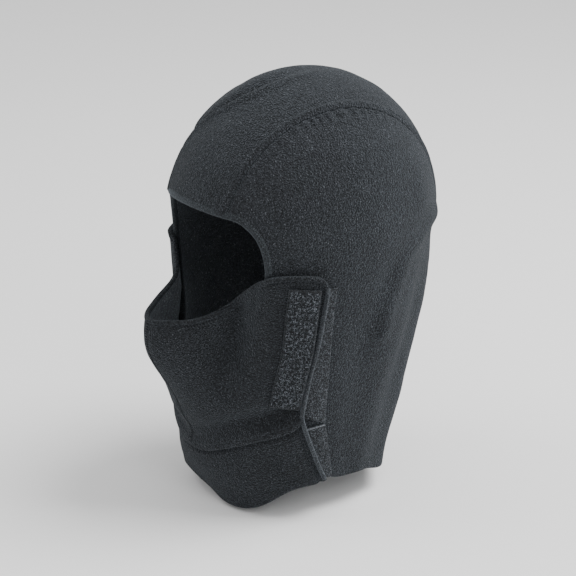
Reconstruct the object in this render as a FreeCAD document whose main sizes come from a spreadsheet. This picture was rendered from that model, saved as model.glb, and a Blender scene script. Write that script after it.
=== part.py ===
import FreeCAD, Part
import Sketcher
import math
import os

# A fleece balaclava in three sewn parts: a hood (crown strip and two side panels), and a
# face mask with a neck panel that closes over both cheeks with hook-and-loop patches.
# Millimetres.  +Z is up, the face looks along -Y, and the wearer's left is +X.
# The origin is the centre of the head cavity, at the level of the largest head girth.
# Outlines are drawn in side view: "fwd" is the distance forward (-Y), "up" is Z.

SHEET_NAME = "dims"

# The cloth form below the girth, as level ellipses: name, height, half length, half width,
# forward shift.  Above the girth it is a half ellipsoid.
STATIONS = [
    ("girth", 0, 104, 84, 0),
    ("cheek", -60, 96, 80, 0),
    ("mouth", -95, 91.5, 77, 4),
    ("chin", -126, 87, 74, 8),
    ("throat", -147, 80, 72, 10),
    ("neck", -170, 74, 70, 12),
    ("collar", -212, 65, 67, 12),
]

SIZES = [
    ("dome_height", 110),
    # distances of each cloth face from the outer face of the hood's fleece
    ("level_binding_inner", -3.4),
    ("level_hood_inner", -2.8),
    ("level_hood_outer", 0),
    ("level_binding_outer", 0.6),
    ("level_loop_outer", 1.8),
    ("level_hook_inner", 2.2),
    ("level_hook_outer", 3.8),
    ("level_mask_outer", 6.6),
    ("level_mask_thread", 7.1),
    ("level_outer_loop", 8.2),
    ("level_patch_thread", 8.7),
    # the mask stands out over the nose
    ("nose_depth", 31),
    ("nose_height", -66),
    ("nose_reach", 42),
    ("nose_half_width", 28),
    # crown strip, in plan: a barrel outline through three widths, at the brow, the top and the
    # nape, each at its distance behind the origin
    ("crown_brow_width", 36),
    ("crown_top_width", 45),
    ("crown_nape_width", 40),
    ("crown_brow_back", -90),
    ("crown_top_back", 0),
    ("crown_nape_back", 110),
    ("thread_width", 1),
    # face opening of the hood
    ("brow_height", 30),
    ("opening_side", 74),
    ("opening_radius", 25),
    ("binding_width", 5),
    ("seam_band", 1.5),
    ("body_gap", 0.3),
    # blank care label, inside the nape hem
    ("label_width", 24),
    ("label_height", 14),
    ("label_up", -168),
]

# Corners of the side-view outlines: name: (forward, up).
CORNERS = {
    "opening_jaw": (74, -110),
    "opening_foot": (50, -178),
    "band_jaw": (69, -110),
    "band_foot": (45, -178),
    "hem_front": (60, -174),
    "hem_back": (-110, -190),
    "mask_nose_top": (112, -49),
    "mask_nose_side": (97, -41),
    "mask_cheek_low": (86, -27),
    "mask_cheek_high": (76, -16.5),
    "mask_top_front": (68, -12.5),
    "mask_top_rear": (46, -13.5),
    "mask_rear_high": (39.5, -20),
    "mask_rear_chin": (49, -118),
    "mask_rear_low": (30.5, -172.5),
    "mask_hem_rear": (43, -178),
    "mask_hem_side": (50, -187),
    "mask_hem_front": (58, -199),
    "edge_rear_high": (44.5, -20),
    "edge_rear_chin": (54, -118),
    "edge_rear_low": (35.5, -172.5),
    "chin_side": (65, -131),
    "chin_front": (88, -145),
    "chin_middle": (100, -154.5),
    "fold_top": (74, -12),
    "fold_foot": (58.2, -180),
    "cheek_patch_a": (64, -21),
    "cheek_patch_b": (71.5, -109),
    "cheek_patch_c": (54.5, -112.5),
    "cheek_patch_d": (46, -22),
    "tab_patch_a": (62, -21),
    "tab_patch_b": (62, -109),
    "neck_patch_a": (63, -141),
    "neck_patch_b": (48.5, -134),
    "neck_patch_c": (41, -166.5),
    "neck_patch_d": (57, -173),
    "tab_neck_a": (59, -140),
    "tab_neck_d": (55.5, -172.5),
    "loop_high_rear": (27, -24),
    "loop_high_front": (61, -22),
    "loop_low_front": (66, -112),
    "loop_low_rear": (30, -128),
    "neck_loop_a": (30, -131.5),
    "neck_loop_b": (60, -136),
    "neck_loop_c": (44, -173),
    "neck_loop_d": (22, -173.5),
}

FAR = 170  # beyond the cloth in every direction
SKIRT_HEIGHTS = [-212, -200, -187, -174, -160, -145, -128, -110, -92, -75, -58, -40, -20]
DOME_ANGLES = [0, 12, 24, 36, 48, 58, 68, 76, 83]  # degrees above the girth, to a small flat top
MASK_DOME_ANGLES = [0, 12]
SECTION_POINTS = 30

doc = FreeCAD.newDocument("balaclava")
sheet = doc.addObject("Spreadsheet::Sheet", SHEET_NAME)


def fill_sheet():
    """Writes every driving dimension to the sheet, each with its alias."""
    rows = list(SIZES)
    for name, up, half_length, half_width, shift in STATIONS:
        rows += [(name + "_up", up), (name + "_half_length", half_length)]
        rows += [(name + "_half_width", half_width), (name + "_shift", shift)]
    for name, (fwd, up) in CORNERS.items():
        rows += [(name + "_fwd", fwd), (name + "_up", up)]
    for row, (alias, value) in enumerate(rows, start=1):
        sheet.set("A%d" % row, alias)
        sheet.set("B%d" % row, str(value))
        sheet.setAlias("B%d" % row, alias)
    doc.recompute()


def size(alias):
    return float(sheet.get(alias))


def cell(alias):
    return SHEET_NAME + "." + alias


# ---- the cloth form -------------------------------------------------------------------


def smooth_between(up, column):
    """Monotone cubic through the stations' values, from the collar up to the girth."""
    knots = [(size(s[0] + "_up"), size(s[0] + column)) for s in reversed(STATIONS)]
    if up >= knots[-1][0]:
        return knots[-1][1]
    slopes = [(b[1] - a[1]) / (b[0] - a[0]) for a, b in zip(knots, knots[1:])]
    tangents = [slopes[0]]
    for before, after in zip(slopes, slopes[1:]):
        same_way = before * after > 0
        tangents.append(2 * before * after / (before + after) if same_way else 0.0)
    tangents.append(0.0)
    k = max(i for i in range(len(knots) - 1) if up >= knots[i][0])
    (low, start), (high, end) = knots[k], knots[k + 1]
    span = high - low
    u = (up - low) / span
    return (
        start * (1 + 2 * u) * (1 - u) ** 2
        + end * u * u * (3 - 2 * u)
        + span * u * (1 - u) * (tangents[k] * (1 - u) - tangents[k + 1] * u)
    )


def form_section(up, tilt, level, masked):
    """Closed curve of the form at a height below the girth, or at an angle above it, in
    degrees.  A masked one stands out over the nose."""
    shrink = math.cos(math.radians(tilt))
    half_length = (smooth_between(up, "_half_length") + level) * shrink
    half_width = (smooth_between(up, "_half_width") + level) * shrink
    if tilt > 0:
        up = (size("dome_height") + level) * math.sin(math.radians(tilt))
    over = (up - size("nose_height")) / size("nose_reach")
    points = []
    for k in range(SECTION_POINTS):
        angle = 2 * math.pi * k / SECTION_POINTS
        side = half_width * math.sin(angle)
        fwd = smooth_between(up, "_shift") + half_length * math.cos(angle)
        if masked and math.cos(angle) > 0:
            across = side / size("nose_half_width")
            fwd += size("nose_depth") * math.exp(-over * over - across * across)
        points.append(FreeCAD.Vector(side, -fwd, up))
    ring = Part.BSplineCurve()
    ring.interpolate(Points=points, PeriodicFlag=True)
    return Part.Wire(ring.toShape())


def form(name, level_alias, masked):
    """Solid inside one face of the cloth: of the hood, closed over the crown, or of the mask."""
    level = size(level_alias)
    angles = MASK_DOME_ANGLES if masked else DOME_ANGLES
    sections = [form_section(up, 0, level, masked) for up in SKIRT_HEIGHTS]
    sections += [form_section(0, tilt, level, masked) for tilt in angles]
    whole = doc.addObject("Part::Feature", name)
    whole.Shape = Part.makeLoft(sections, True, False)
    return whole


# ---- building blocks --------------------------------------------------------------------


def common(name, shapes):
    made = doc.addObject("Part::MultiCommon", name)
    made.Shapes = shapes
    return made


def cut(name, base, tool):
    made = doc.addObject("Part::Cut", name)
    made.Base = base
    made.Tool = tool
    return made


def upright_slab(name, low_x, high_x):
    made = doc.addObject("Part::Box", name)
    made.Length = high_x - low_x
    made.Width = 2 * FAR
    made.Height = 3 * FAR
    made.Placement.Base = FreeCAD.Vector(low_x, -FAR, -2 * FAR)
    return made


def extrusion(name, sketch, direction):
    made = doc.addObject("Part::Extrusion", name)
    made.Base = sketch
    made.DirMode = "Custom"
    made.Dir = direction
    made.LengthFwd = 4 * FAR
    made.Symmetric = True
    made.Solid = True
    return made


def side_prism(name, corners):
    """Prism along X over a side-view outline.  Each corner is the name of one in the sheet, or
    a pair (forward, up) of expressions or numbers."""
    pairs = []
    for corner in corners:
        if isinstance(corner, str):
            corner = (cell(corner + "_fwd"), cell(corner + "_up"))
        pairs.append([str(part) for part in corner])
    points = [FreeCAD.Vector(*[float(sheet.evalExpression(e)) for e in pair]) for pair in pairs]
    sketch = doc.addObject("Sketcher::SketchObject", name + "_outline")
    ends = points[1:] + points[:1]
    sketch.addGeometry([Part.LineSegment(a, b) for a, b in zip(points, ends)], False)
    for index, pair in enumerate(pairs):
        after = (index + 1) % len(pairs)
        sketch.addConstraint(Sketcher.Constraint("Coincident", index, 2, after, 1))
        for axis, kind in enumerate(("DistanceX", "DistanceY")):
            place = points[index][axis]
            number = sketch.addConstraint(Sketcher.Constraint(kind, -1, 1, index, 1, place))
            sketch.renameConstraint(number, "%s_%d" % (kind, index))
            sketch.setExpression("Constraints.%s_%d" % (kind, index), pair[axis])
    # sketch x runs forward (-Y), sketch y runs up (Z), and the sketch faces the wearer's right
    sketch.Placement.Rotation = FreeCAD.Rotation(
        FreeCAD.Vector(0, -1, 0), FreeCAD.Vector(0, 0, 1), FreeCAD.Vector(-1, 0, 0), "XYZ"
    )
    return extrusion(name, sketch, FreeCAD.Vector(1, 0, 0))


def barrel(name, extra):
    """Upright prism of the crown strip's plan, each side an arc, wider by extra."""
    sketch = doc.addObject("Sketcher::SketchObject", name + "_outline")
    sides = {}
    for side in (-1, 1):
        sides[side] = [
            FreeCAD.Vector(
                side * (size("crown_%s_width" % place) + extra), size("crown_%s_back" % place), 0
            )
            for place in ("brow", "top", "nape")
        ]
    fronts = {side: FreeCAD.Vector(sides[side][0].x, -FAR, 0) for side in (-1, 1)}
    sketch.addGeometry(
        [
            Part.LineSegment(fronts[-1], fronts[1]),
            Part.LineSegment(fronts[1], sides[1][0]),
            Part.Arc(*sides[1]),
            Part.LineSegment(sides[1][2], sides[-1][2]),
            Part.Arc(*reversed(sides[-1])),
            Part.LineSegment(sides[-1][0], fronts[-1]),
        ],
        False,
    )
    return extrusion(name, sketch, FreeCAD.Vector(0, 0, 1))


def face_opening(name, corner_name, grow):
    """Prism of the hood's face opening, larger by grow all round, with a round brow corner."""
    brow = size("brow_height") + grow
    rear = size("opening_side") - grow
    below = -2 * FAR
    jaw, foot = corner_name + "_jaw", corner_name + "_foot"
    foot_low = (cell(foot + "_fwd"), below)
    blank = side_prism(
        name + "_blank", [(FAR, brow), (rear, brow), jaw, foot, foot_low, (FAR, below)]
    )
    doc.recompute()
    corner = FreeCAD.Vector(0, -rear, brow)
    edges = list(enumerate(blank.Shape.Edges, start=1))
    numbers = [n for n, edge in edges if (edge.CenterOfMass - corner).Length < 0.01]
    radius = size("opening_radius") + grow
    made = doc.addObject("Part::Fillet", name)
    made.Base = blank
    made.Edges = [(number, radius, radius) for number in numbers]
    return made


def ring_prism(name, corners, inset):
    """Prism of a stitched line: an outline, less the same outline moved in from its corners."""
    outer = side_prism(name + "_outer", corners)
    pairs = [(size(corner + "_fwd"), size(corner + "_up")) for corner in corners]
    middle = [sum(pair[k] for pair in pairs) / len(pairs) for k in (0, 1)]
    moved = []
    for pair in pairs:
        reach = math.dist(pair, middle)
        share = 1 - inset * math.sqrt(2) / reach
        moved.append([middle[k] + (pair[k] - middle[k]) * share for k in (0, 1)])
    return cut(name, outer, side_prism(name + "_inner", moved))


kept = []


def piece(name, layer, regions):
    """A sub-part: the stretch of a cloth layer that lies in every one of the regions."""
    region = regions[0]
    if len(regions) > 1:
        region = common(name + "_region", regions)
    made = common(name, [layer, region])
    made.Label = name
    kept.append(made)


fill_sheet()
left_half = upright_slab("left_half", 0, FAR)
right_half = upright_slab("right_half", -FAR, 0)
HALVES = {"left": left_half, "right": right_half}

# ---- the faces of the cloth, and the layers between them ------------------------------------

binding_inner = form("binding_inner", "level_binding_inner", False)
hood_inner = form("hood_inner", "level_hood_inner", False)
hood_outer = form("hood_outer", "level_hood_outer", False)
binding_outer = form("binding_outer", "level_binding_outer", False)
loop_outer = form("loop_outer", "level_loop_outer", False)
hook_inner = form("hook_inner", "level_hook_inner", True)
hook_outer = form("hook_outer", "level_hook_outer", True)
mask_outer = form("mask_outer", "level_mask_outer", True)
mask_thread = form("mask_thread", "level_mask_thread", True)
outer_loop = form("outer_loop", "level_outer_loop", True)
patch_thread = form("patch_thread", "level_patch_thread", True)

hood_layer = cut("hood_layer", hood_outer, hood_inner)
binding_layer = cut("binding_layer", binding_outer, binding_inner)
loop_layer = cut("loop_layer", loop_outer, hood_outer)
hook_layer = cut("hook_layer", hook_outer, hook_inner)
mask_layer = cut("mask_layer", mask_outer, hook_outer)
mask_thread_layer = cut("mask_thread_layer", mask_thread, mask_outer)
outer_loop_layer = cut("outer_loop_layer", outer_loop, mask_outer)
patch_thread_layer = cut("patch_thread_layer", patch_thread, outer_loop)

# ---- the hood -----------------------------------------------------------------------------

above_hem = side_prism(
    "above_hem",
    [
        "hem_front",
        "hem_back",
        (-FAR, cell("hem_back_up")),
        (-FAR, FAR),
        (FAR, FAR),
        (FAR, cell("hem_front_up")),
    ],
)
opening = face_opening("opening", "opening", 0)
band_opening = face_opening("band_opening", "band", size("binding_width"))
crown_barrel = barrel("crown_barrel", 0)
wide_barrel = barrel("wide_barrel", size("thread_width"))
hood_region = cut("hood_region", above_hem, band_opening)
sides_region = cut("sides_region", hood_region, wide_barrel)
seam_strip = cut("seam_strip", wide_barrel, crown_barrel)
band_ring = cut("band_ring", band_opening, opening)
cheek_loop_prism = side_prism(
    "cheek_loop_prism", ["loop_high_rear", "loop_high_front", "loop_low_front", "loop_low_rear"]
)
neck_loop_prism = side_prism(
    "neck_loop_prism", ["neck_loop_a", "neck_loop_b", "neck_loop_c", "neck_loop_d"]
)

piece("crown_panel", hood_layer, [hood_region, crown_barrel])
piece("face_opening_binding", binding_layer, [band_ring, above_hem])
for side, half in HALVES.items():
    piece("side_panel_" + side, hood_layer, [sides_region, half])
    piece("crown_seam_thread_" + side, hood_layer, [seam_strip, hood_region, half])
    piece("cheek_loop_patch_" + side, loop_layer, [cheek_loop_prism, half])
    piece("neck_loop_patch_" + side, loop_layer, [neck_loop_prism, half])

label_block = doc.addObject("Part::Box", "label_block")
label_block.setExpression("Length", cell("label_width"))
label_block.Width = FAR
label_block.setExpression("Height", cell("label_height"))
label_block.setExpression("Placement.Base.x", "-" + cell("label_width") + " / 2")
label_block.setExpression("Placement.Base.z", cell("label_up"))
piece("care_label", cut("label_layer", hood_inner, binding_inner), [label_block])

# ---- the mask -----------------------------------------------------------------------------

mask_outline = side_prism(
    "mask_outline",
    [
        (FAR, cell("mask_nose_top_up")),
        "mask_nose_top",
        "mask_nose_side",
        "mask_cheek_low",
        "mask_cheek_high",
        "mask_top_front",
        "mask_top_rear",
        "mask_rear_high",
        "mask_rear_chin",
        "mask_rear_low",
        "mask_hem_rear",
        "mask_hem_side",
        "mask_hem_front",
        (FAR, cell("mask_hem_front_up")),
    ],
)
above_chin = side_prism(
    "above_chin",
    [
        (FAR, cell("chin_middle_up")),
        "chin_middle",
        "chin_front",
        "chin_side",
        "mask_rear_chin",
        (-FAR, cell("mask_rear_chin_up")),
        (-FAR, FAR),
        (FAR, FAR),
    ],
)
behind_edge = side_prism(
    "behind_edge",
    [
        (cell("edge_rear_high_fwd"), FAR),
        "edge_rear_high",
        "edge_rear_chin",
        "edge_rear_low",
        (cell("edge_rear_low_fwd"), -2 * FAR),
        (-FAR, -2 * FAR),
        (-FAR, FAR),
    ],
)


def behind_fold(name, shift):
    """Everything behind the line on which the mask folds at the wearer's right cheek."""
    rise = size("fold_top_up") - size("fold_foot_up")
    lean = (size("fold_top_fwd") - size("fold_foot_fwd")) / rise
    top = size("fold_top_fwd") + shift + lean * (FAR - size("fold_top_up"))
    foot = size("fold_foot_fwd") + shift - lean * (2 * FAR + size("fold_foot_up"))
    slab = side_prism(name + "_slab", [(top, FAR), (foot, -2 * FAR), (-FAR, -2 * FAR), (-FAR, FAR)])
    return common(name, [slab, right_half])


end_side = behind_fold("end_side", 0)
end_side_clear = behind_fold("end_side_clear", size("body_gap"))
field = cut("field", mask_outline, behind_edge)
edges = common("edges", [mask_outline, behind_edge])
upper_field = common("upper_field", [field, above_chin])
neck_field = cut("neck_field", field, above_chin)

CHEEK_PATCH = ["cheek_patch_a", "cheek_patch_b", "cheek_patch_c", "cheek_patch_d"]
CHEEK_PATCH_RIGHT = ["tab_patch_a", "tab_patch_b", "cheek_patch_c", "cheek_patch_d"]
NECK_PATCH = ["neck_patch_a", "neck_patch_b", "neck_patch_c", "neck_patch_d"]
NECK_PATCH_RIGHT = ["tab_neck_a", "neck_patch_b", "neck_patch_c", "tab_neck_d"]
cheek_prism = side_prism("cheek_prism", CHEEK_PATCH)
cheek_prism_right = side_prism("cheek_prism_right", CHEEK_PATCH_RIGHT)
neck_prism = side_prism("neck_prism", NECK_PATCH)
neck_prism_right = side_prism("neck_prism_right", NECK_PATCH_RIGHT)

piece("mask_panel_left", mask_layer, [upper_field, left_half])
piece("mask_panel_right", mask_layer, [cut("front_field", upper_field, end_side_clear), right_half])
piece("neck_panel", mask_layer, [cut("front_neck", neck_field, end_side_clear)])
piece("mask_edge_hem_left", mask_layer, [edges, left_half])
piece("cheek_hook_patch_left", hook_layer, [cheek_prism, left_half])
piece("neck_hook_patch_left", hook_layer, [neck_prism, left_half])
piece("outer_loop_patch", outer_loop_layer, [cheek_prism, left_half])
piece("mask_end_right", mask_layer, [upper_field, end_side])
piece("neck_end_right", mask_layer, [neck_field, end_side])
piece("mask_edge_hem_right", mask_layer, [edges, right_half])
piece("cheek_hook_patch_right", hook_layer, [cheek_prism_right, right_half])
piece("neck_hook_patch_right", hook_layer, [neck_prism_right, right_half])

# ---- sewing threads that show on the outside ------------------------------------------------

thread = size("thread_width")
half_band = size("seam_band")
middle_slab = upright_slab("middle_slab", -half_band, half_band)
upper_outline = common("upper_outline", [mask_outline, above_chin])
cheek_ring = ring_prism("cheek_ring", CHEEK_PATCH, thread)
cheek_ring_right = ring_prism("cheek_ring_right", CHEEK_PATCH_RIGHT, thread)
neck_ring = ring_prism("neck_ring", NECK_PATCH, thread)
neck_ring_right = ring_prism("neck_ring_right", NECK_PATCH_RIGHT, thread)

piece("centre_seam_thread", mask_thread_layer, [upper_outline, middle_slab])
piece("outer_patch_thread", patch_thread_layer, [cheek_ring, left_half])
piece("neck_patch_thread_left", mask_thread_layer, [neck_ring, left_half])
piece("cheek_patch_thread_right", mask_thread_layer, [cheek_ring_right, right_half])
piece("neck_patch_thread_right", mask_thread_layer, [neck_ring_right, right_half])

doc.recompute()

# ---- checks and files -----------------------------------------------------------------------

failed = [made.Name for made in doc.Objects if {"Invalid", "Error"} & set(made.State)]
if failed:
    raise RuntimeError("objects failed: " + ", ".join(failed))
for part in kept:
    shape = part.Shape
    if shape.isNull() or not shape.isValid() or not shape.Solids:
        raise RuntimeError(part.Label + " has no valid solid")
    box = shape.BoundBox
    print("%-26s %d solids %9.1f mm3" % (part.Label, len(shape.Solids), shape.Volume), box)

os.makedirs("parts", exist_ok=True)
for part in kept:
    part.Shape.exportStep("parts/%s.step" % part.Label)
print("sub-parts:", len(kept))
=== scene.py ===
import math

import bpy
import numpy as np
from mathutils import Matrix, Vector


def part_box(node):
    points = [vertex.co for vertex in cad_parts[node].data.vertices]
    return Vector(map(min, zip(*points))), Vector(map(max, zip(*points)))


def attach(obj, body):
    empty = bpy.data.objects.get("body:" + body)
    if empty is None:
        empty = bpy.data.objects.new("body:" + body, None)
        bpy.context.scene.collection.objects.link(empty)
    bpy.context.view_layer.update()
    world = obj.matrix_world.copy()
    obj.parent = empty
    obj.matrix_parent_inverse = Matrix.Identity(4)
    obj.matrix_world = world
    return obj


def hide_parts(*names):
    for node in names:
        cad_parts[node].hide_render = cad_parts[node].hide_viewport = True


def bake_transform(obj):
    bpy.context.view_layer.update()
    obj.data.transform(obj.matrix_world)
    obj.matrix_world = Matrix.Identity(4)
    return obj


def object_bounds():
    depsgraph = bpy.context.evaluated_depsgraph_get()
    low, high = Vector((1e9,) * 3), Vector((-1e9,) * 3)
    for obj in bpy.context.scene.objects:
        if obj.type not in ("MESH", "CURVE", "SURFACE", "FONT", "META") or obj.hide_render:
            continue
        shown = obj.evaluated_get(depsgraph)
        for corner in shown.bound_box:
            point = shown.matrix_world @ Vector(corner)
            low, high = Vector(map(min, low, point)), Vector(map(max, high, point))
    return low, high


# A fleece balaclava: a hood of a crown strip and two side panels, and a face mask with a neck
# panel that closes over both cheeks with hook-and-loop patches.  Shapes are worked out in
# millimetres in the frame's axes (+Z up, the face looks along -Y, the wearer's left is +X),
# and become metres when a mesh is made.

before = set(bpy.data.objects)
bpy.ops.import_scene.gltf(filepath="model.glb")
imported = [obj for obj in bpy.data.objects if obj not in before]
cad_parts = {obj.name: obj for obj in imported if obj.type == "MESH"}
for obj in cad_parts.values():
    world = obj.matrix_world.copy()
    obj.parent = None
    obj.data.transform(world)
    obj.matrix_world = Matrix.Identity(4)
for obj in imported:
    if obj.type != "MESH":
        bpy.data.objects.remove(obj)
cad_low, cad_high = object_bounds()
METRE = 0.001  # one millimetre in metres


def node_box(name):
    """Lowest and highest corner of a CAD node, in millimetres."""
    low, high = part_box(name)
    return np.array(low) / METRE, np.array(high) / METRE


# ---- the cloth form, sized from the frame ----

CROWN_LOW, CROWN_HIGH = node_box("crown_panel")
_, SIDE_HIGH = node_box("side_panel_left")
_, BAND_HIGH = node_box("face_opening_binding")
FLAT_TOP = math.sin(math.radians(83))  # the CAD crown ends in a small flat at this angle
DOME = CROWN_HIGH[2] / FLAT_TOP
GIRTH_LENGTH = CROWN_HIGH[1]
GIRTH_WIDTH = SIDE_HIGH[0]
NAPE = CROWN_LOW[2]
BROW = BAND_HIGH[2]

# height, half length, half width, forward shift, as shares of the dome height, the girth's
# half length and half width, and the half length again
STATIONS = np.array(
    [
        (-1.93, 0.625, 0.798, 0.115),
        (-1.545, 0.7115, 0.833, 0.115),
        (-1.336, 0.769, 0.857, 0.096),
        (-1.145, 0.8365, 0.881, 0.077),
        (-0.864, 0.88, 0.917, 0.038),
        (-0.545, 0.923, 0.952, 0.0),
        (0.0, 1.0, 1.0, 0.0),
    ]
) * (DOME, GIRTH_LENGTH, GIRTH_WIDTH, GIRTH_LENGTH)

NOSE_DEPTH, NOSE_UP, NOSE_REACH, NOSE_WIDTH = 31, -66, 42, 28
HEAD_MIDDLE = np.array([0, 0, -60.0])

# thicknesses of the cloth and of the pile
CLOTH = 2.8
MASK_CLOTH = 3.2
HOOD_LOOPS = 1.2
OUTER_LOOPS = 1.8
HOOKS = 1.3

# distances of the outer faces from the outer face of the hood
HOOK_FACE = 3.5
MASK_OUTER = 6.6
OUTER_LOOP_FACE = 8.5


def monotone(x, knots, values):
    """Monotone cubic through the knots, flat at the top one."""
    slopes = np.diff(values) / np.diff(knots)
    before, after = slopes[:-1], slopes[1:]
    product = before * after
    joined = 2 * product / np.where(product > 0, before + after, 1)
    tangents = np.concatenate(([slopes[0]], np.where(product > 0, joined, 0), [0]))
    x = np.clip(x, knots[0], knots[-1])
    k = np.clip(np.searchsorted(knots, x, side="right") - 1, 0, len(knots) - 2)
    span = knots[k + 1] - knots[k]
    u = (x - knots[k]) / span
    return (
        values[k] * (1 + 2 * u) * (1 - u) ** 2
        + values[k + 1] * u * u * (3 - 2 * u)
        + span * u * (1 - u) * (tangents[k] * (1 - u) - tangents[k + 1] * u)
    )


def section(up, level=0.0):
    """Half length, half width and forward shift of the form at a height."""
    up = np.asarray(up, float)
    columns = [monotone(up, STATIONS[:, 0], STATIONS[:, c]) for c in (1, 2, 3)]
    dome = DOME + level
    shrink = np.sqrt(np.clip(1 - np.square(np.maximum(up, 0) / dome), 1e-6, 1))
    return (columns[0] + level) * shrink, (columns[1] + level) * shrink, columns[2]


def hood_side(fwd, up):
    """Points on the hood's left side over side-view places (forward, up)."""
    length, width, shift = section(up)
    across = np.sqrt(np.clip(1 - np.square((fwd - shift) / length), 1e-5, 1))
    return np.stack([width * across, -np.asarray(fwd, float), np.asarray(up, float)], -1)


def mask_place(angle, up, level=MASK_OUTER):
    """Points on the mask at an angle from the front, in degrees, and a height."""
    angle = np.radians(angle)
    length, width, shift = section(up, level)
    side = width * np.sin(angle)
    fwd = shift + length * np.cos(angle)
    nose = np.exp(-np.square((up - NOSE_UP) / NOSE_REACH) - np.square(side / NOSE_WIDTH))
    fwd = fwd + np.where(np.cos(angle) > 0, NOSE_DEPTH * nose, 0)
    return np.stack([side, -fwd, up + 0 * side], -1)


# ---- curves and grids ----


def spaced(points, count):
    """The same polyline with its points at equal distances."""
    points = np.asarray(points, float)
    along = lengths_along(points)
    wanted = np.linspace(0, along[-1], count)
    return np.stack([np.interp(wanted, along, points[:, c]) for c in range(points.shape[1])], 1)


def smooth_line(points, count, steps=24):
    """A Catmull-Rom curve through the points, evenly spaced."""
    p = np.asarray(points, float)
    p = np.vstack([2 * p[0] - p[1], p, 2 * p[-1] - p[-2]])
    fine = []
    for k in range(1, len(p) - 2):
        u = np.linspace(0, 1, steps, endpoint=False)[:, None]
        a, b, c, d = p[k - 1 : k + 3]
        fine.append(
            0.5 * (2 * b + (c - a) * u + (2 * a - 5 * b + 4 * c - d) * u**2)
            + 0.5 * (3 * b - a - 3 * c + d) * u**3
        )
    fine.append(p[-2][None])
    return spaced(np.vstack(fine), count)


def coons(low, high, start, end):
    """Grid between four curves: low and high run along u, start and end along v."""
    n, m = len(low), len(start)
    u = np.linspace(0, 1, n)[None, :, None]
    v = np.linspace(0, 1, m)[:, None, None]
    ruled_v = low[None] * (1 - v) + high[None] * v
    ruled_u = start[:, None] * (1 - u) + end[:, None] * u
    corners = (
        low[0] * (1 - u) * (1 - v) + low[-1] * u * (1 - v) + high[0] * (1 - u) * v + high[-1] * u * v
    )
    return ruled_v + ruled_u - corners


def grid_normals(grid, outward):
    """Unit normals of a grid of points, turned to point the way that outward says."""
    du, dv = np.gradient(grid, axis=1), np.gradient(grid, axis=0)
    normals = np.cross(du, dv)
    normals /= np.linalg.norm(normals, axis=2, keepdims=True) + 1e-12
    if np.sum(normals * outward) < 0:
        normals = -normals
    return normals


def away(grid):
    """Rough outward directions, from the middle of the head."""
    return grid - HEAD_MIDDLE


def lengths_along(line):
    """Length of a polyline from its start to each of its points."""
    return np.concatenate(([0], np.cumsum(np.linalg.norm(np.diff(line, axis=0), axis=1))))


def distance_to(points, line, batch=4000):
    """Distance of each point to the nearest point of a line, and that point's place along it."""
    flat = points.reshape(-1, points.shape[-1])
    steps = lengths_along(line)
    best = np.zeros(len(flat))
    place = np.zeros(len(flat))
    for start in range(0, len(flat), batch):
        part = flat[start : start + batch]
        gaps = np.linalg.norm(part[:, None] - line[None], axis=2)
        nearest = gaps.argmin(1)
        best[start : start + batch] = gaps[np.arange(len(part)), nearest]
        place[start : start + batch] = steps[nearest]
    return best.reshape(points.shape[:-1]), place.reshape(points.shape[:-1])


def hill(x, middle, reach):
    """A smooth hill of height 1."""
    return np.exp(-np.square((x - middle) / reach))


def hills(x, rows):
    """The sum of hills along one direction: a height, a middle and a reach for each."""
    return sum(height * hill(x, middle, reach) for height, middle, reach in rows)


def mounds(x, y, rows):
    """The sum of mounds over two directions: a height, then a middle and a reach along each."""
    return sum(height * hill(x, *along_x) * hill(y, *along_y) for height, along_x, along_y in rows)


def climb(x, start, end):
    """A straight rise from 0 at the start to 1 at the end, level on both sides."""
    return np.clip((x - start) / (end - start), 0, 1)


# the integer hash: a factor for each axis and for the seed, then two rounds of mixing
HASH_PRIMES, HASH_SEED = (73856093, 19349663, 83492791), 2654435761
HASH_FIRST, HASH_STEP, HASH_SECOND = 1103515245, 12345, 1274126177
HASH_LIMIT = 0x7FFFFFFF


def lattice_noise(points, size, seed):
    """Smooth noise from -1 to 1 that changes over about the given size.
    Each corner of a cell takes its value from an integer hash of its place."""
    p = points / size + 1000.5
    cell = np.floor(p).astype(np.int64)
    part = p - cell
    part = part * part * (3 - 2 * part)
    total = np.zeros(points.shape[:-1])
    for corner in range(8):
        step = np.array([corner & 1, corner >> 1 & 1, corner >> 2 & 1])
        c = cell + step
        mixed = np.bitwise_xor.reduce(c * HASH_PRIMES, axis=-1)
        mixed = (mixed + seed * HASH_SEED) & HASH_LIMIT
        mixed = (mixed * HASH_FIRST + HASH_STEP) & HASH_LIMIT
        mixed = (mixed ^ mixed >> 13) * HASH_SECOND & HASH_LIMIT
        value = mixed / (HASH_LIMIT // 2) - 1
        weight = np.prod(np.where(step, part, 1 - part), axis=-1)
        total += value * weight
    return total


# ---- meshes ----


def make_object(name, vertices, faces, material):
    """A smooth-shaded object from vertices in millimetres."""
    mesh = bpy.data.meshes.new(name)
    mesh.from_pydata((np.asarray(vertices) * METRE).tolist(), [], faces)
    mesh.update()
    mesh.polygons.foreach_set("use_smooth", [True] * len(mesh.polygons))
    mesh.materials.append(material)
    made = bpy.data.objects.new(name, mesh)
    bpy.context.scene.collection.objects.link(made)
    return made


def grid_faces(rows, columns, first, flip):
    """Quads of a grid whose vertices start at an index."""
    faces = []
    for r in range(rows - 1):
        for c in range(columns - 1):
            a = first + r * columns + c
            quad = (a, a + 1, a + 1 + columns, a + columns)
            faces.append(quad[::-1] if flip else quad)
    return faces


RIM_STEPS = 5  # steps of the half round at the edge of a cloth


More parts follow.
